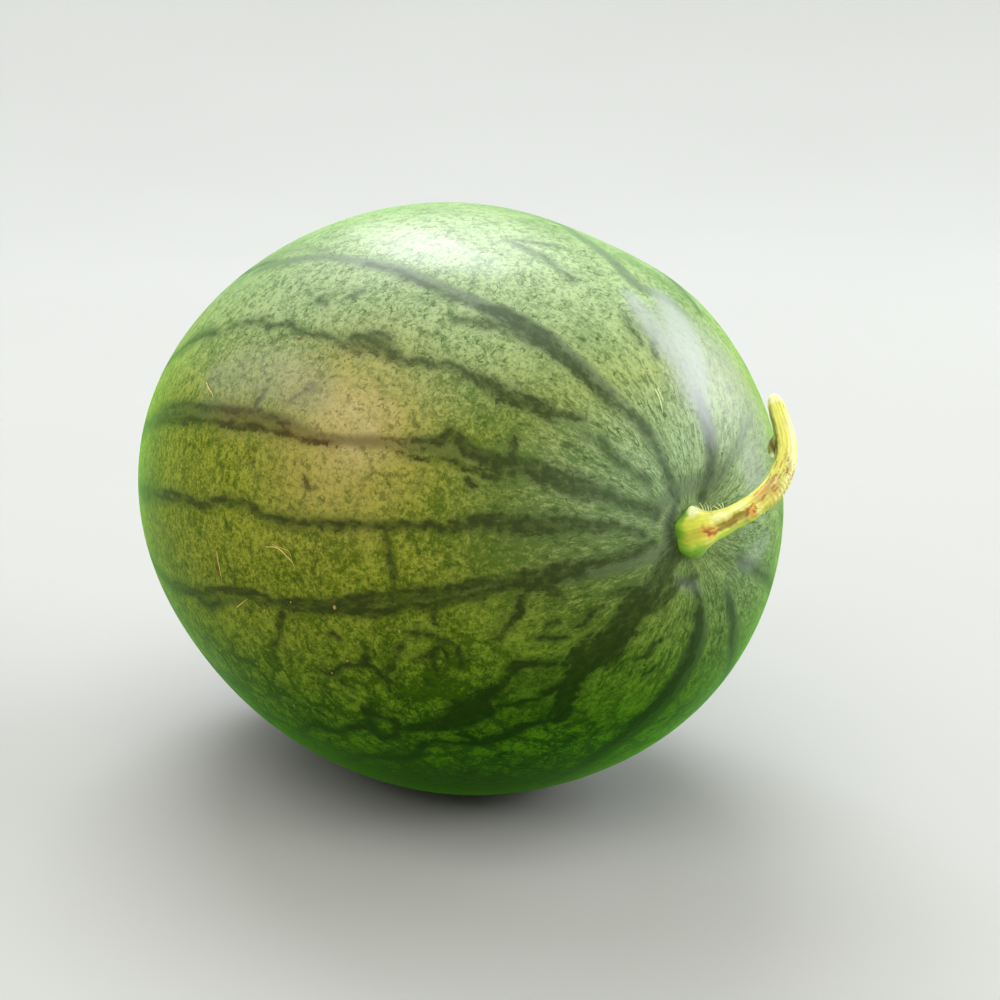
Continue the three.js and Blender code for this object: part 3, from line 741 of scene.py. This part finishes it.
def rind_zones(own_mm, world):
    """Where each effect shows on the rind: a number for every vertex, mostly 0 to 1."""
    rho = np.hypot(own_mm[:, 1], own_mm[:, 2])
    stem_half = own_mm[:, 0] > 0
    height = world[:, 2] / (2 * LIFT)

    def spot(theta, phi, core, edge):
        """1 within core mm of a point of the rind, 0 beyond edge mm."""
        away = np.linalg.norm(own_mm - rind_at(theta, phi) / MM, axis=1)
        return 1 - smoothstep(away, core, edge)

    def smear(stroke, low, high):
        """0 at low mm inside a stroke's edge, 1 at high mm; negative is outside it."""
        return smoothstep(stroke_margin(own_mm, stroke), low, high)

    under_stem = smoothstep(world[:, 0], 0.04, 0.13)
    # Greyer near the stem, more where it faces up, and on top: bloom and painted sky reflection.
    raised = np.maximum(smoothstep(height, 0.42, 0.72), smoothstep(world[:, 1], -0.02, 0.04))
    bloom = np.where(stem_half, 1 - smoothstep(rho, 12, 85), 0) * (0.25 + 0.75 * raised)
    bloom_and_sky_reflection = np.maximum(bloom, 0.75 * smoothstep(height, 0.66, 0.92))
    # Painted green rim light on the far side under the stem.
    painted_rim_glow = smoothstep(world[:, 0], 0.03, 0.1) * smoothstep(world[:, 1], 0.02, 0.09)
    # Painted reflection on the shoulder by the stem, and paler under it.
    painted_reflection = [smear(REFLECTION_BAND, -7, 5), 0.3 * spot(23, -52, 9, 24), 0.35 * spot(27, -33, 8, 28),
           0.5 * spot(16, -64, 4, 14), 0.85 * smear(REFLECTION_STREAK, -4, 3),
           0.35 * smear(PALE_UNDER, -4, 3)]
    gloss = [0.42 * smoothstep(height, 0.8, 0.97), 0.85 * spot(24, -36, 9, 44),
             0.75 * smear(GLARE, -12, 2), 0.1 * bloom_and_sky_reflection]
    return dict(
        # darker low down: partly the rind's deeper green, partly painted shade
        shaded_low_side=1 - smoothstep(height - 0.12 * under_stem, 0.08, 0.52),
        near_stem=np.where(stem_half, 1 - smoothstep(rho, 45, 80), 0),
        bloom_and_sky_reflection=bloom_and_sky_reflection,
        # painted light: paler towards the top
        painted_top_light=smoothstep(height, 0.55, 0.9) - 0.3 - 2 * spot(21, 72, 10, 52),
        # painted shade: darker near the floor
        painted_underside_shade=1 - smoothstep(height, 0.02, 0.2),
        painted_reflection=np.max(painted_reflection, 0),
        gloss=np.max(gloss, 0),
        haze_and_reflection=smear(HAZE_AND_REFLECTION, -9, 4),
        painted_rim_glow=0.6 * painted_rim_glow * (1 - smoothstep(height, 0.5, 0.75)),
        scab=np.max([smear(scab, -1, 1) for scab in SCABS], 0),
        blush=np.maximum(0.8 * spot(55, 65, 6, 48), 0.5 * smear(BROWNED, -9, 3)),
        # partly bleached rind, partly a painted glow of reflected light
        bleach_and_glow=0.55 * spot(52, 64, 3, 20),
        cork=np.where(stem_half, 0, 1 - smoothstep(rho, 5, 8)),
        ground=spot(92, 183, 10, 55))


def drawn_out(radius_mm, turned, along_mm):
    """Places for noise that is drawn out along an axis, by a length that is shortened."""
    return np.stack([radius_mm * np.cos(turned), radius_mm * np.sin(turned), along_mm], -1) * MM


def build_rind():
    theta, phi, faces = rind_grid()
    own = rind_point(theta, phi)
    own_mm = own / MM
    world = pressed(placed(own))
    rind = make_piece("rind", world, faces, rind_material(), "rind", "fruit")
    veins, shadow = veins_and_shadows(own_mm)
    side, half = vein_lanes(own_mm, veins)
    arc = MM_A_DEGREE * np.degrees(theta)
    off_axis = np.hypot(np.hypot(own_mm[:, 1], own_mm[:, 2]), STRAND_RADIUS)
    give(rind, vein_side=side, vein_half=half, bold=half.max(1), shadow=shadow,
         streak=drawn_out(STREAK_RADIUS, phi, STREAK_SHARE * arc),
         strand=drawn_out(off_axis, phi, STRAND_SHARE * arc), **rind_zones(own_mm, world))


# ---- Stem ----

STEM_SINK = 0.5 * MM  # the stem's foot is grown onto the fruit, so it starts under the rind
STEM_GRAIN = 0.12  # how much the grain is drawn out along the stem
STEM_GRAIN_RADIUS, STUB_GRAIN_RADIUS = 3.5, 1.2  # mm
STUB_GRID = (28, 30)
STUB_RIBS = dict(count=5, depth=0.08)
HAIR_RADIUS, HAIR_ROOT = 0.11, 0.3  # mm, and how deep in the skin it starts
HAIR_BOW = 0.05  # of its length
STEM_COLOURS = dict(
    yellow=(0.68, 0.65, 0.12), gold=(0.56, 0.57, 0.04), lime=(0.46, 0.7, 0.05),
    green=(0.17, 0.42, 0.015), pale=(0.72, 0.76, 0.42), ivory=(0.78, 0.77, 0.38),
    olive=(0.27, 0.22, 0.012), tan=(0.5, 0.35, 0.09), sand=(0.76, 0.62, 0.28),
    rust=(0.3, 0.1, 0.01), orange=(0.72, 0.36, 0.05), moss=(0.2, 0.27, 0.04),
    brown=(0.12, 0.065, 0.014), straw=(0.56, 0.43, 0.11), dirt=(0.42, 0.24, 0.07))
STEM_PATCHES = [  # colour, strength, along, around, length, width in degrees
    ("gold", 0.9, 0.06, 20, 0.05, 60), ("green", 1.0, 0.0, 20, 0.038, 110),
    ("green", 1.0, 0.045, 95, 0.06, 40), ("moss", 0.9, 0.03, 110, 0.035, 34),
    # The pale patch on top of the foot is partly painted highlight.
    ("pale", 1.0, 0.065, -68, 0.035, 36), ("green", 0.6, 0.03, -30, 0.015, 30),
    ("lime", 1.0, 0.19, 98, 0.1, 42), ("lime", 1.0, 0.31, 92, 0.06, 34),
    # The ivory along the upper edge between foot and knot is partly painted highlight.
    ("ivory", 0.8, 0.19, -15, 0.06, 22), ("ivory", 0.7, 0.3, -20, 0.05, 24),
    ("tan", 0.8, 0.23, 33, 0.11, 26),
    ("olive", 1.0, 0.2, 38, 0.06, 17), ("olive", 1.0, 0.28, 25, 0.055, 18),
    ("olive", 0.9, 0.24, 33, 0.05, 12), ("rust", 0.5, 0.25, 28, 0.04, 6),
    ("gold", 0.8, 0.1, -8, 0.05, 26),
    ("orange", 0.9, 0.12, 32, 0.036, 26),
    ("rust", 1.0, 0.11, 34, 0.01, 14), ("rust", 0.6, 0.125, 24, 0.018, 7),
    ("rust", 0.7, 0.13, 42, 0.022, 8), ("rust", 0.4, 0.105, 12, 0.01, 10),
    ("rust", 0.7, 0.15, 44, 0.02, 6), ("rust", 0.9, 0.32, 28, 0.014, 18),
    ("orange", 1.0, 0.35, 30, 0.02, 22), ("rust", 0.8, 0.345, 18, 0.012, 6),
    # The sand on the knot here, and at the elbow below, is partly painted highlight.
    ("orange", 0.9, 0.335, 58, 0.016, 14), ("sand", 1.0, 0.35, 66, 0.008, 12),
    ("brown", 0.7, 0.365, 42, 0.006, 16), ("sand", 0.9, 0.375, 56, 0.007, 12),
    ("rust", 0.8, 0.35, 48, 0.008, 10), ("sand", 0.9, 0.44, -5, 0.035, 28),
    ("tan", 0.9, 0.48, 16, 0.075, 46), ("tan", 0.8, 0.41, -2, 0.045, 36),
    ("sand", 0.6, 0.47, 85, 0.03, 20), ("rust", 0.6, 0.47, 24, 0.012, 12),
    ("rust", 0.6, 0.53, 8, 0.014, 10), ("gold", 0.7, 0.4, 90, 0.04, 30),
    ("brown", 0.8, 0.43, -30, 0.05, 6), ("brown", 0.6, 0.5, -4, 0.035, 4),
    ("brown", 0.6, 0.48, 40, 0.03, 4), ("brown", 0.7, 0.56, 26, 0.03, 4),
    ("sand", 0.8, 0.51, 14, 0.03, 6), ("orange", 0.6, 0.47, 58, 0.02, 8),
    ("tan", 0.9, 0.46, -12, 0.05, 28), ("brown", 0.7, 0.5, -32, 0.05, 8),
    ("orange", 0.8, 0.43, -14, 0.04, 14), ("rust", 0.7, 0.42, 22, 0.02, 7),
    # The ivory on the upper stem's lit side is partly painted light.
    ("ivory", 0.9, 0.7, 75, 0.2, 40), ("brown", 0.7, 0.58, 44, 0.03, 7),
    ("tan", 0.8, 0.6, 58, 0.04, 10), ("brown", 0.6, 0.64, 40, 0.02, 6),
    # The moss and brown on the side that faces the fruit, by the tendril, are partly painted shade.
    ("tan", 0.7, 0.66, 20, 0.05, 8), ("moss", 0.95, 0.82, -52, 0.15, 30),
    ("moss", 0.8, 0.68, -58, 0.06, 26), ("brown", 0.8, 0.74, -50, 0.06, 16),
    ("rust", 0.7, 0.92, 72, 0.02, 9), ("brown", 0.8, 0.83, 82, 0.008, 8),
    ("rust", 0.6, 0.72, 96, 0.02, 8), ("ivory", 0.9, 0.98, 0, 0.035, 200),
]
STEM_HAIRS = [  # short hairs on the foot: along, around, length in mm, lean along the stem
    (0.1, -58, 2.4, -0.5), (0.115, -64, 2.9, -0.2), (0.125, -60, 2.2, 0.1),
    (0.14, -66, 3.0, 0.0), (0.15, -58, 2.0, 0.3), (0.2, -62, 2.6, -0.7),
    (0.215, -60, 3.0, -0.3), (0.22, -66, 2.3, 0.2),
]


CURVE_STEPS = 40  # between two points
TANGENT_STEP = 0.004  # share of the length


class Curve:
    """A smooth curve through points, by share of its length."""

    def __init__(self, points):
        p = np.array(points, float)
        p = np.vstack([2 * p[0] - p[1], p, 2 * p[-1] - p[-2]])
        fine = []
        for a, b, c, d in zip(p, p[1:], p[2:], p[3:]):
            ab, bc, cd = [np.sqrt(np.linalg.norm(v)) for v in (b - a, c - b, d - c)]
            leave = bc * ((b - a) / ab - (c - a) / (ab + bc) + (c - b) / bc)
            arrive = bc * ((c - b) / bc - (d - b) / (bc + cd) + (d - c) / cd)
            t = np.linspace(0, 1, CURVE_STEPS, endpoint=False)[:, None]
            fine.append(b + leave * t + (3 * (c - b) - 2 * leave - arrive) * t**2
                        + (leave + arrive - 2 * (c - b)) * t**3)
        self.fine = np.vstack([*fine, p[-2]])
        run = np.linalg.norm(np.diff(self.fine, axis=0), axis=1)
        self.run = np.concatenate([[0], np.cumsum(run)])
        self.length = self.run[-1]

    def at(self, share):
        where = np.asarray(share) * self.length
        return np.stack([np.interp(where, self.run, self.fine[:, k]) for k in range(3)], -1)

    def frame(self, share, facing):
        """Centre, tangent, front and side vectors at a share of the length."""
        share = np.asarray(share)
        low, high = [np.clip(share + step, 0, 1) for step in (-TANGENT_STEP, TANGENT_STEP)]
        tangent = unit(self.at(high) - self.at(low))
        front = unit(facing - (tangent @ facing)[..., None] * tangent)
        return self.at(share), tangent, front, np.cross(tangent, front)


def profile(points, t):
    """Smooth value at t of a list of (t, value) points."""
    ts, values = np.array(points, float).T
    i = np.clip(np.searchsorted(ts, t), 1, len(ts) - 1)
    share = (t - ts[i - 1]) / (ts[i] - ts[i - 1])
    eased = 0.5 * share + 0.5 * smoothstep(share, 0, 1)
    return values[i - 1] + (values[i] - values[i - 1]) * eased


def stem_radius(share, around):
    """Radius in mm at a share of the length, and at degrees around."""
    ribs = np.cos(np.radians(STEM_RIBS["count"] * around + STEM_RIBS["twist"] * share))
    r = profile(STEM_RADII, share) * (1 + STEM_RIBS["depth"] * ribs)
    for along, at, length, width, height in STEM_LUMPS:
        away = np.hypot((share - along) / length, turn(around, at) / width)
        r = r + height * np.exp(-(away**2))
    return r


def tube(curve, facing, grid, radius_at):
    """A closed tube: vertices in the curve's units, faces, and share and degrees around."""
    around, rings = grid
    share, angle = np.meshgrid(np.linspace(0, 1, rings), np.arange(around) * 360 / around,
                               indexing="ij")
    centre, _, front, side = curve.frame(share, facing)
    r = radius_at(share, angle)[..., None]
    turned = np.radians(angle)[..., None]
    skin = centre + r * (np.cos(turned) * front + np.sin(turned) * side)
    vertices = np.vstack([skin.reshape(-1, 3), curve.at([0, 1])])
    start = around * rings
    faces = [(a, d, c, b) for a, b, c, d in bands(around, rings)]
    faces += [(tip, b, a) for tip, a, b in fan(start, 0, around)]
    faces += fan(start + 1, start - around, around)
    return vertices, faces, np.append(share.ravel(), [0, 1]), np.append(angle.ravel(), [0, 0])


def stem_relief(share, around):
    """Fibres, wrinkles and cracks on the stem, in mm."""
    fibres = 0.1 * np.cos(np.radians(17 * around + 240 * share))
    fibres += 0.06 * np.cos(np.radians(29 * around - 150 * share) + 9 * share)
    fibres *= smoothstep(share, 0.06, 0.2) * (1 - 0.6 * smoothstep(share, 0.9, 1))
    elbow = np.exp(-(((share - 0.5) / 0.09) ** 2) - (turn(around, 95) / 60) ** 2)
    wrinkles = 0.22 * elbow * np.cos(2 * math.pi * share * 46 + np.radians(2 * around))
    crack = np.hypot((share - 0.165) / 0.035, turn(around, 25 + 180 * (share - 0.165)) / 11)
    knot = np.hypot((share - 0.335) / 0.02, turn(around, 62) / 20)
    return fibres + wrinkles - 0.5 * np.exp(-(crack**2)) - 0.55 * np.exp(-(knot**4))


def dried_material():
    """Fibrous, with the broad colours stored on the mesh."""
    g = Graph("dried_stem")
    grain = g.noise(g.vector("grain"), 0.9, 3, 0.6)
    blotch = g.noise(g.place(), 3, 3, 0.6)
    fine = g.noise(g.place(), 0.6, 2, 0.6)
    light = (grain * 1.2 + blotch * 0.6).step(-0.4, 0.4, 0.78, 1.16)
    colour = g.mix(1, g.vector("paint"), light, "MULTIPLY")
    fleck = fine * 0.4 + grain * 1.3 + blotch * 0.6 + g.value("flecked") * 0.28
    colour = g.mix(fleck.step(0.3, 0.46, 0, 0.7), colour, STEM_COLOURS["rust"])
    return g.finish(grain * 0.8 + fine * 0.35, 0.35, Base_Color=colour, Roughness=0.62,
                    Coat_Weight=0, Subsurface_Weight=0.06, Subsurface_Scale=2 * MM)


def stem_paint(share, around):
    """The stem's colour at each vertex, from patches whose edges wander."""
    share = share + 0.006 * np.cos(np.radians(7 * around) + 40 * share)
    share = share + 0.003 * np.cos(np.radians(19 * around) - 90 * share)
    around = around + 4 * np.cos(70 * share) + 3 * np.cos(190 * share + 1)
    paint = np.tile(STEM_COLOURS["yellow"], (len(share), 1))
    for colour, strength, along, at, length, width in STEM_PATCHES:
        away = np.hypot((share - along) / length, turn(around, at) / width)
        here = (strength * (1 - smoothstep(away, 0.45, 1.35)))[:, None]
        paint = paint * (1 - here) + here * STEM_COLOURS[colour]
    return paint


def skin_point(curve, along, around):
    """A point of the stem's skin in mm, with the directions outwards and along."""
    centre, tangent, front, side = curve.frame(along, STEM_FACING)
    turned = math.radians(around)
    out = math.cos(turned) * front + math.sin(turned) * side
    return centre + out * stem_radius(np.array(along), np.array(around)), out, tangent


def build_stem():
    material = dried_material()
    curve = Curve(STEM_ROUTE)
    seat = float(fruit_radius(np.array(0.0), np.array(0.0))) - STEM_DISH["depth"] - STEM_SINK
    offset = np.array([seat, 0, 0])

    def to_row(points_mm):
        return placed(points_mm * MM + offset)

    def dried_tube(name, curve, grid, radius_at, grain_radius):
        """A piece of the stem. Gives its share and degrees around at every vertex as well."""
        vertices, faces, share, around = tube(curve, STEM_FACING, grid, radius_at)
        piece = make_piece(name, to_row(vertices), faces, material, "dried_stem", "stem")
        along = STEM_GRAIN * curve.length * share
        give(piece, grain=drawn_out(grain_radius, np.radians(around), along))
        return piece, share, around

    stem, share, around = dried_tube(
        "stem_skin", curve, STEM_GRID,
        lambda s, a: stem_radius(s, a) + stem_relief(s, a), STEM_GRAIN_RADIUS)
    give(stem, paint=stem_paint(share, around),
         flecked=smoothstep(share, 0.42, 0.55) - 0.6 * smoothstep(share, 0.6, 0.7))

    # The broken-off tendril under the stem's upper part; its dark brown and moss are partly its own
    # colour and partly painted shade.
    root, out, tangent = skin_point(curve, STUB_ALONG, STUB_AROUND)
    stub_curve = Curve([root + out * away + tangent * along for away, along in STUB_ROUTE])

    def stub_radius(share, around):
        ribs = np.cos(np.radians(STUB_RIBS["count"] * around))
        return profile(STUB_RADII, share) * (1 + STUB_RIBS["depth"] * ribs)

    stub, share, around = dried_tube(
        "tendril_stub", stub_curve, STUB_GRID, stub_radius, STUB_GRAIN_RADIUS)
    pale = smoothstep(share, 0.72, 0.92)[:, None]
    mossy = smoothstep(np.cos(np.radians(2 * around) + 9 * share), -0.9, 0.4)[:, None]
    dark = (1 - mossy) * STEM_COLOURS["brown"] + mossy * STEM_COLOURS["moss"]
    give(stub, paint=(1 - pale) * dark + pale * STEM_COLOURS["pale"], flecked=0 * share)

    # Short dry hairs on top of the foot.
    strands = []
    for along, at, length, lean in STEM_HAIRS:
        root, out, tangent = skin_point(curve, along, at)
        tip = root + length * unit(out + lean * tangent)
        middle = 0.5 * (root + tip) + HAIR_BOW * length * tangent
        strands.append((to_row(np.array([root - HAIR_ROOT * out, middle, tip])), HAIR_RADIUS))
    build_strands("stem_hairs", strands, "pale")


# ---- Strands ----

STRAND_GRID = (8, 14)
STRAND_FACING = np.array([0.3, -0.8, 0.5])
STRAND_TAPER = 0.6  # of the radius, over the second half
GRAIN_SHAPE = np.array([0.35, 0.2, 0.1])  # half the line inside a grain, in its radius
FIBRE_LIFT, GRAIN_LIFT = 0.7, 0.2  # above the rind, in its radius


def build_strands(name, strands, colour):
    """Thin tapered tubes in one piece: each has its points in metres and a radius in mm."""
    vertices, faces = [], []
    for points, radius in strands:
        skin, skin_faces, *_ = tube(
            Curve(points), STRAND_FACING, STRAND_GRID,
            lambda s, a: radius * MM * (1 - STRAND_TAPER * smoothstep(s, 0.5, 1)))
        faces += [tuple(v + len(vertices) for v in face) for face in skin_faces]
        vertices += skin.tolist()
    g = Graph(name)
    shade = g.noise(g.place(), 1).step(-0.2, 0.2, 0.75, 1.1)
    tinted = g.mix(1, STEM_COLOURS[colour], shade, "MULTIPLY")
    material = g.finish(shade, 0, Roughness=0.6, Base_Color=tinted)
    make_piece(name, vertices, faces, material, "dried_stem")


def build_litter():
    """Dry fibres and grains of dirt that lie on the rind."""
    for name, routes, colour in (("rind_fibres", FIBRES, "straw"),
                                 ("rind_scratches", SCRATCHES, "pale")):
        strands = []
        for radius, route in routes:
            on_rind = rind_at(*np.array(route, float).T)
            lifted = on_rind + unit(on_rind) * radius * MM * FIBRE_LIFT
            strands.append((placed(lifted), radius))
        build_strands(name, strands, colour)
    grains = []
    for theta, phi, radius in SPECKS:
        at = rind_at(theta, phi)
        middle = at + unit(at) * radius * MM * GRAIN_LIFT
        along = GRAIN_SHAPE * radius * MM
        grains.append((placed(np.array([middle - along, middle, middle + along])), radius))
    build_strands("rind_grains", grains, "dirt")


# ---- Floor, lights and camera ----

SWEEP_START, SWEEP_END, SWEEP_CURVE = 1.7, 3.3, 1.9  # metres from the fruit, and its radius
SWEEP_SIDES, SWEEP_RINGS = 96, 24
FLAT_RINGS = [0.01, 0.8]  # metres from the fruit
CLOUD_SIZE = 400  # mm
FLOOR_COLOURS = ((0.335, 0.325, 0.315), (0.345, 0.335, 0.325))
ROOM_COLOUR, ROOM_STRENGTH = (0.7, 0.85, 0.62, 1), 0.36
LIGHT_DISTANCE = 4
LIGHTS = [  # name, direction from the fruit, width and height in metres, watts, colour
    ("key_light", (0.4, -0.42, 0.8), (3.5, 3.5), 132, (1, 0.98, 0.95)),
    ("glow_light", (-0.16, -0.87, 0.47), (1.6, 1.1), 17, (1, 0.98, 0.92)),
    ("left_light", (-0.75, -0.4, 0.53), (2.5, 2.5), 26, (0.95, 0.98, 1)),
    ("top_light", (-0.55, 0.28, 0.78), (2.2, 1.2), 120, (0.9, 0.95, 1)),
    ("far_light", (0.2, 0.85, 0.4), (3, 3), 150, (0.9, 0.96, 1)),
    ("right_light", (0.75, 0.6, 0.3), (2, 2), 114, (0.95, 1, 0.96)),
]
SUN_TOWARDS, SUN_ANGLE, SUN_STRENGTH = (-0.55, 0.28, 0.78), 60, 1.7
SUN_COLOUR = (0.94, 0.97, 1)
CAMERA_PLACE = (0.58132, -0.41312, LIFT + 0.17781)
CAMERA_FORWARD = (-0.77527, 0.5826, -0.244)
CAMERA_LENS, CAMERA_SENSOR = 72.7, 36  # mm
CAMERA_NEAR = 0.01


def build_stage():
    """A floor that is flat all round the fruit and curves up far off, as a studio's does."""
    g = Graph("pale_floor")
    cloud = g.noise(g.place(), CLOUD_SIZE)
    colour = g.mix(cloud.step(-0.4, 0.4), *FLOOR_COLOURS)
    material = g.finish(cloud, 0, Base_Color=colour, Roughness=0.85)
    around = np.arange(SWEEP_SIDES) * 2 * math.pi / SWEEP_SIDES
    radius = np.concatenate([FLAT_RINGS, np.linspace(SWEEP_START, SWEEP_END, SWEEP_RINGS)])
    rise = np.maximum(radius - SWEEP_START, 0)
    height = SWEEP_CURVE - np.sqrt(SWEEP_CURVE**2 - rise**2)
    vertices = [(r * math.cos(a), r * math.sin(a), z) for r, z in zip(radius, height) for a in around]
    faces = [range(SWEEP_SIDES), *bands(SWEEP_SIDES, len(radius))]
    floor = smooth_mesh("floor", vertices, faces, material)

    world = bpy.data.worlds.new("studio")
    bpy.context.scene.world = world
    world.use_nodes = True
    background = world.node_tree.nodes["Background"]
    background.inputs["Color"].default_value = ROOM_COLOUR
    background.inputs["Strength"].default_value = ROOM_STRENGTH


def turned_to(towards, axis):
    """The rotation that turns an object's own axis to a direction."""
    return Vector(towards).to_track_quat(axis, "Y").to_euler()


def build_lights():
    for name, towards, size, watts, colour in LIGHTS:
        lamp = bpy.data.lights.new(name, "AREA")
        lamp.shape = "RECTANGLE"
        lamp.size, lamp.size_y = size
        lamp.energy, lamp.color = watts, colour
        light = link(name, lamp)
        light.location = Vector((0, 0, LIFT)) + Vector(towards).normalized() * LIGHT_DISTANCE
        light.rotation_euler = turned_to(towards, "Z")
    sun = bpy.data.lights.new("soft_sun", "SUN")
    sun.angle = math.radians(SUN_ANGLE)
    sun.energy, sun.color = SUN_STRENGTH, SUN_COLOUR
    link("soft_sun", sun).rotation_euler = turned_to(SUN_TOWARDS, "Z")


def build_camera():
    lens = bpy.data.cameras.new("camera")
    lens.lens = CAMERA_LENS
    lens.sensor_width = CAMERA_SENSOR
    lens.clip_start = CAMERA_NEAR
    camera = link("camera", lens)
    camera.location = CAMERA_PLACE
    camera.rotation_euler = turned_to(CAMERA_FORWARD, "-Z")
    bpy.context.scene.camera = camera


build_camera()
build_rind()
build_stem()
build_litter()
build_stage()
build_lights()
bpy.context.scene.view_settings.view_transform = "Standard"
